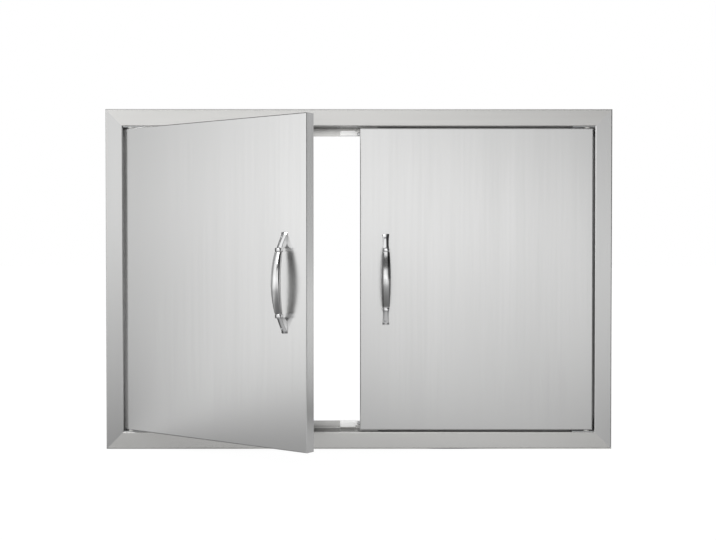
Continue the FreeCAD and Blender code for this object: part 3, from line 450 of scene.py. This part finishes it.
def bead_shell(shell):
    """Neck from the grip into the foot, and a turned bead round it that stands straight up."""
    reaches = [NECK_START + number * NECK_STEP for number in range(NECK_STATIONS)]
    add_round(shell, [(reach, NECK_RADIUS, NECK_RADIUS) for reach in reaches], ring_shape())
    middle = Vector((0, -bow_out(BEAD_REACH), BEAD_REACH))
    rings = []
    for number in range(BEAD_STEPS + 1):
        place = -math.cos(math.pi * number / BEAD_STEPS)
        bulge = (1 - abs(place) ** BEAD_FULLNESS) ** (1 / BEAD_FULLNESS)
        radius = BEAD_ROOT + (BEAD_RADIUS - BEAD_ROOT) * bulge
        rings.append([middle + Vector((radius * across, -radius * out, place * BEAD_HALF))
                      for across, out in ring_shape(BEAD_SQUARENESS)])
    add_rings(shell, rings)


def foot_shell(shell):
    """Foot through level sections: ridged front, hollow heel, slightly flared tail with rounded corners."""
    neck_out = bow_out(FOOT_START)
    front = arc_between((FOOT_START, neck_out + NECK_RADIUS), (FOOT_TIP, FOOT_EDGE), FOOT_BOW)
    hollow = arc_between((FOOT_START, neck_out - NECK_RADIUS), (FOOT_HEEL, 0), -FOOT_HOLLOW)
    flare = arc_between((FOOT_START, FOOT_NECK), (FOOT_TIP, FOOT_TAIL), -FOOT_FLARE)
    corner_start = FOOT_TIP - FOOT_CORNER
    reaches = [FOOT_START + (corner_start - FOOT_START) * number / FOOT_STEPS
               for number in range(FOOT_STEPS + 1)]
    reaches += [corner_start + FOOT_CORNER * math.sin(math.pi / 2 * number / FOOT_CORNER_STEPS)
                for number in range(1, FOOT_CORNER_STEPS)]
    reaches += [FOOT_TIP - EDGE_ROUND, FOOT_TIP]
    rings = []
    for reach in sorted(reaches):
        half = flare(reach)
        if reach > corner_start:
            half -= FOOT_CORNER - math.sqrt(max(FOOT_CORNER ** 2 - (reach - corner_start) ** 2, 0))
        back = hollow(reach) if reach < FOOT_HEEL else 0
        out = front(reach)
        if reach == FOOT_TIP:
            half, out = half - EDGE_ROUND, out - EDGE_ROUND
        fall = min(half * RIDGE_SLOPE, (out - back) * RIDGE_LIMIT)
        corners = [(half, back), (half, out - fall), (0, out), (-half, out - fall), (-half, back)]
        radii = (EDGE_ROUND, EDGE_ROUND, RIDGE_ROUND, EDGE_ROUND, EDGE_ROUND)
        ring = rounded([Vector((across, -depth)) for across, depth in corners], radii)
        rings.append([Vector((point.x, point.y, reach)) for point in ring])
    add_rings(shell, rings)


def make_piece(name, side, shells, up, material):
    """Smooth piece of one handle, from shells that are built for the upper half; up is -1 for the lower."""
    shell = bmesh.new()
    for build in shells:
        build(shell)
    if up < 0:
        bmesh.ops.transform(shell, matrix=Matrix.Diagonal((1, 1, -1, 1)), verts=shell.verts)
    bmesh.ops.transform(shell, matrix=handle_place(side), verts=shell.verts)
    bmesh.ops.recalc_face_normals(shell, faces=shell.faces)
    for face in shell.faces:
        face.smooth = True
    mesh = bpy.data.meshes.new(name)
    shell.to_mesh(mesh)
    shell.free()
    mesh.materials.append(material)
    piece = bpy.data.objects.new(name, mesh)
    piece.modifiers.new("FlatFaces", "WEIGHTED_NORMAL")
    scene.collection.objects.link(piece)
    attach(piece, f"{side}_door")
    return piece


def make_handles():
    # Painted shade on each grip's rear and on the left feet's left flank
    shaded_flank = rest_direction("left", FOOT_SHADED_SIDE)
    foot_chrome = {
        "left": polished_steel("LeftFootShadedChrome", *CHROME, shaded_side=shaded_flank, kept=0.22, edge=(0.8, 0.95)),
        "right": polished_steel("Chrome", *CHROME),
    }
    for side in SIDES:
        satin = polished_steel(f"{side.title()}GripSteel", GRIP_TONE, 0.12,
                               shaded_side=rest_direction(side, GRIP_SHADED_SIDE))
        grip = make_piece(f"{side.title()}Grip", side, [grip_shell], 1, satin)
        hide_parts(f"{side}_handle_grip")
        for end, up in (("upper", 1), ("lower", -1)):
            name = f"{side.title()}{end.title()}Foot"
            foot = make_piece(name, side, [foot_shell, bead_shell], up, foot_chrome[side])
            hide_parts(f"{side}_handle_{end}_foot")


# Springs of the upper pins

def make_springs(wire):
    """Copies of the solid springs, each riding with its door."""
    for side in SIDES:
        node = frame["nodes"][f"{side}_pin_spring"]
        spring = bpy.data.objects.new(f"{side.title()}Spring", node.data.copy())
        spring.matrix_world = node.matrix_world
        spring.data.materials.clear()
        spring.data.materials.append(wire)
        scene.collection.objects.link(spring)
        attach(spring, f"{side}_door")
        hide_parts(f"{side}_pin_spring")
        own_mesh(spring)


# Finishes of the solids: tone, roughness, and how much the brushing draws a reflection out

RAIL_TONE = (0.72, 0.715, 0.7)
# Share of the rails' tone left where their inner faces get painted shade
RAIL_INNER_SHADE = 0.35
# The two stiles are the same steel in two tones: the left one is painted darker, as painted shade
STILE_TONES = {"left": (0.595, 0.595, 0.592025), "right": (0.67, 0.67, 0.66665)}
FRAME_FINISH = (0.26, 0.5)
DOOR_FINISH = ((0.69, 0.69, 0.687), 0.24, 0.55)
LINER_FINISH = ((0.55, 0.55, 0.55), 0.36, 0.4)
PLATED_PIECES = ("door_stiffener", "lower_pin_bracket", "upper_pin_bracket", "strike_plates", "strike_rivets",
                 "handle_screws", "handle_washers")


def dress():
    rail = brushed_steel("RailSteel", "x", RAIL_TONE, *FRAME_FINISH, inner_shade=RAIL_INNER_SHADE)
    assign(rail, "frame_top_rail", "frame_bottom_rail")
    plated = polished_steel("PlatedSteel", (0.6, 0.61, 0.62), 0.3)
    turned = polished_steel("TurnedSteel", (0.66, 0.66, 0.67), 0.22)
    wire = polished_steel("SpringSteel", (0.42, 0.42, 0.43), 0.3)
    # The white catch plastic gets a painted glow
    white = moulded("CatchPlastic", (0.9, 0.9, 0.89), 0.4, through=0.35)
    nylon = moulded("BushNylon", (0.78, 0.77, 0.72), 0.45)
    ferrite = moulded("Ferrite", (0.05, 0.05, 0.053), 0.6)
    for side in SIDES:
        title = side.title()
        # Turns the brush lines back to the closed door
        turn = math.radians(-JOINTS[f"{side}_door_hinge"]["range_deg"][0])
        post = brushed_steel(f"{title}StileSteel", "z", STILE_TONES[side], *FRAME_FINISH)
        door = brushed_steel(f"{title}DoorSteel", "z", *DOOR_FINISH, turn)
        liner = brushed_steel(f"{title}LinerSteel", "z", *LINER_FINISH, turn)
        assign(post, f"frame_{side}_stile")
        assign(door, f"{side}_door_skin")
        assign(liner, f"{side}_door_liner")
        assign(plated, *(f"{side}_{piece}" for piece in PLATED_PIECES))
        assign(turned, f"{side}_lower_pin", f"{side}_upper_pin")
        for end in ("bottom", "top"):
            assign(plated, f"hinge_plate_{end}_{side}")
            assign(nylon, f"pivot_bush_{end}_{side}")
    for end in ("bottom", "top"):
        assign(white, f"catch_housing_{end}")
        assign(ferrite, f"catch_magnets_{end}")
        assign(plated, f"catch_pole_plates_{end}")
        assign(turned, f"catch_screw_{end}")
    make_handles()
    make_springs(wire)


# Light and floor

# Radiance of the surround by height above the horizon, and of the floor by dip below it, in degrees
SKY_BY_HEIGHT = ((0, 1.37), (2.5, 1.45), (5, 1.36), (7, 1.22), (13, 1.2), (60, 1.12), (90, 0.8))
FLOOR_BY_DIP = ((0, 1.32), (2, 1.3), (4, 1.22), (6, 1.06), (8, 0.73), (10, 0.46), (15, 0.32), (25, 0.18),
                (38, 0.15), (50, 0.5), (60, 0.6), (90, 0.6))
# Share of it that is left by direction, in degrees from the front towards the viewer's right
SHARE_BY_TURN = ((-180, 0.08), (-165, 0.2), (-140, 0.5), (-110, 0.45), (-96, 0.3), (-84, 0.36), (-73, 0.99),
                 (-60, 0.99), (-46, 0.8), (-20, 0.85), (-8, 0.95), (-2, 1.0), (4, 1.0), (8, 0.96), (12, 0.84),
                 (16, 0.6), (22, 0.28), (32, 0.08), (88, 0.08), (97, 0.5), (165, 0.5), (180, 0.08))
FLOOR_SHARE_BY_TURN = ((-180, 0.08), (-150, 0.3), (-96, 0.3), (-84, 0.34), (-73, 0.99), (-60, 0.99),
                       (-46, 0.8), (-20, 0.7), (-9, 0.64), (-3, 0.84), (1, 0.9), (5, 0.96), (9, 0.84),
                       (16, 0.8), (28, 0.4), (40, 0.1), (79, 0.1), (87, 0.75), (98, 0.85), (130, 0.9),
                       (165, 0.6), (180, 0.08))
# High up, between these heights, the surround is bright in front and on the left, and behind on the right
CEILING_BY_TURN = ((-180, 0.1), (-90, 0.1), (-70, 0.6), (-55, 0.9), (8, 0.85), (25, 0.3), (50, 0.06),
                   (95, 0.06), (120, 0.6), (165, 0.6), (180, 0.1))
CEILING_START = (38, 46)
CEILING_END = (76, 84)
# Dim patches by height and direction, and how deep they are: above the viewer's head, which the polished
# handles show, low on the right, and behind on the left
DIM_PATCHES = (
    (((13, 0.0), (16, 1.0), (27, 1.0), (31, 0.0)), ((-56, 0.0), (-44, 1.0), (80, 1.0), (95, 0.0)), 0.88),
    (((2.5, 0.0), (6.5, 1.0), (12, 1.0), (15, 0.0)), ((2, 0.0), (12, 1.0), (30, 1.0), (40, 0.0)), 0.3),
    (((8, 0.0), (14, 1.0), (60, 1.0), (70, 0.0)), ((-180, 1.0), (-135, 1.0), (-118, 0.0)), 0.8),
)
# Straight in front of the frame the floor turns slowly from left to right, in metres and degrees to a metre.
# That fades with the direction, and behind the frame's front
FLOOR_FRONT_HALF = 0.4
FLOOR_FRONT_TURN = 22
FLOOR_FRONT_FADE = 25
FLOOR_FRONT_END = (-0.02, 0)
# Near the part the floor is lighter on the left and behind than in front
LIFT_DIP = (9, 14)
LIFT_BY_TURN = ((-180, 1.0), (-65, 1.0), (-35, 0.0), (60, 0.0), (105, 1.0), (180, 1.0))
LIFT = 1.9
LEVEL_OF_WHITE = 1.055
FLOOR_GLOW = 0.9
FLOOR_EDGE = 20.0
FLOOR_TONE = (0.8, 0.8, 0.8)
WHITE = (1, 1, 1)

KEY_PLACE = (-1.6, -1.7, 1.6)
KEY_TARGET = (0, 0, 0.24)
KEY_SIZE = 1.0
KEY_POWER = 22


def direction_turn(tree, right, back):
    """Direction in degrees from the front, towards the viewer's right."""
    return tree.math("DEGREES", tree.math("ARCTAN2", right, tree.math("MULTIPLY", back, -1.0)))


def make_world():
    """Soft studio surround, white to the camera: bright in front and to the left, dark to the right."""
    world = bpy.data.worlds.new("Studio")
    world.use_nodes = True
    scene.world = world
    tree = Tree(world.node_tree)
    parts = tree.parts(tree.coordinates("Generated"))
    height = tree.math("DEGREES", tree.math("ARCSINE", parts[2]))
    turn = direction_turn(tree, parts[0], parts[1])
    overhead = tree.spread(height, *CEILING_END)
    share = tree.math("MAXIMUM", tree.profile(turn, SHARE_BY_TURN), overhead)
    ceiling = tree.math("MULTIPLY", tree.spread(height, *CEILING_START),
                        tree.spread(height, *CEILING_END, 1.0, 0.0))
    share = tree.spread(ceiling, 0, 1, share, tree.profile(turn, CEILING_BY_TURN))
    for by_height, by_turn, depth in DIM_PATCHES:
        patch = tree.math("MULTIPLY", tree.profile(height, by_height), tree.profile(turn, by_turn))
        share = tree.math("MULTIPLY", share, tree.spread(patch, 0, 1, 1, 1 - depth))
    surround = tree.math("MULTIPLY", tree.profile(height, SKY_BY_HEIGHT), share)
    path = tree.add("ShaderNodeLightPath").outputs
    surround = tree.spread(path["Is Diffuse Ray"], 0, 1, surround, 1.0)
    light = tree.add("ShaderNodeBackground", {"Color": shade(WHITE), "Strength": surround}).outputs[0]
    white = tree.add("ShaderNodeBackground", {"Color": shade(WHITE), "Strength": 1.0}).outputs[0]
    mixed = tree.add("ShaderNodeMixShader", {0: path["Is Camera Ray"], 1: light, 2: white})
    tree.add("ShaderNodeOutputWorld", {"Surface": mixed.outputs[0]})


def floor_reflection(tree):
    """What the metal mirrors of the floor, by the direction of the place on it and the ray's dip."""
    right, back = tree.parts(tree.coordinates())[:2]
    half = tree.spread(back, *FLOOR_FRONT_END, FLOOR_FRONT_HALF, 0.0)
    aside = tree.math("MAXIMUM", tree.math("SUBTRACT", tree.math("ABSOLUTE", right), half), 0.0)
    aside = tree.math("MULTIPLY", aside, tree.math("SIGN", right))
    turn = direction_turn(tree, aside, back)
    front = tree.math("MINIMUM", tree.math("MAXIMUM", right, -FLOOR_FRONT_HALF), FLOOR_FRONT_HALF)
    straight = tree.spread(tree.math("ABSOLUTE", turn), 0, FLOOR_FRONT_FADE, 1.0, 0.0)
    turn = tree.math("MULTIPLY_ADD", tree.math("MULTIPLY", front, straight), FLOOR_FRONT_TURN, turn)
    facing = tree.add("ShaderNodeLayerWeight", {"Blend": 0.5}).outputs["Facing"]
    dip = tree.math("DEGREES", tree.math("ARCSINE", tree.math("SUBTRACT", 1.0, facing)))
    mirrored = tree.math("MULTIPLY", tree.profile(dip, FLOOR_BY_DIP), tree.profile(turn, FLOOR_SHARE_BY_TURN))
    lift = tree.math("MULTIPLY", tree.spread(dip, *LIFT_DIP), tree.profile(turn, LIFT_BY_TURN))
    return tree.math("MULTIPLY", mirrored, tree.spread(lift, 0, 1, 1, LIFT))


def make_floor():
    """Pale satin floor: white to the camera, mirrored by the metal as the surround is, darkened by shadow."""
    mesh = bpy.data.meshes.new("Floor")
    corners = [(x * FLOOR_EDGE, y * FLOOR_EDGE, 0) for x, y in ((-1, -1), (1, -1), (1, 1), (-1, 1))]
    mesh.from_pydata(corners, [], [(0, 1, 2, 3)])
    floor = bpy.data.objects.new("Floor", mesh)
    floor.location.z = FLOOR_HEIGHT
    scene.collection.objects.link(floor)
    material, tree = new_material("PaleFloor")
    path = tree.add("ShaderNodeLightPath").outputs
    strength = tree.spread(path["Is Camera Ray"], 0, 1, floor_reflection(tree), LEVEL_OF_WHITE)
    shown = tree.math("MAXIMUM", path["Is Camera Ray"], path["Is Glossy Ray"])
    share = tree.math("MULTIPLY", shown, FLOOR_GLOW)
    diffuse = tree.add("ShaderNodeBsdfDiffuse", {"Color": shade(FLOOR_TONE)}).outputs[0]
    glow = tree.add("ShaderNodeEmission", {"Strength": strength}).outputs[0]
    mixed = tree.add("ShaderNodeMixShader", {0: share, 1: diffuse, 2: glow})
    tree.add("ShaderNodeOutputMaterial", {"Surface": mixed.outputs[0]})
    mesh.materials.append(material)


def make_key_light():
    data = bpy.data.lights.new("KeyLight", "AREA")
    data.shape = "SQUARE"
    data.size = KEY_SIZE
    data.energy = KEY_POWER
    light = bpy.data.objects.new("KeyLight", data)
    light.location = KEY_PLACE
    direction = Vector(KEY_TARGET) - Vector(KEY_PLACE)
    light.rotation_euler = direction.to_track_quat("-Z", "Y").to_euler()
    light.visible_camera = False
    scene.collection.objects.link(light)


make_camera()
dress()
make_world()
make_floor()
make_key_light()
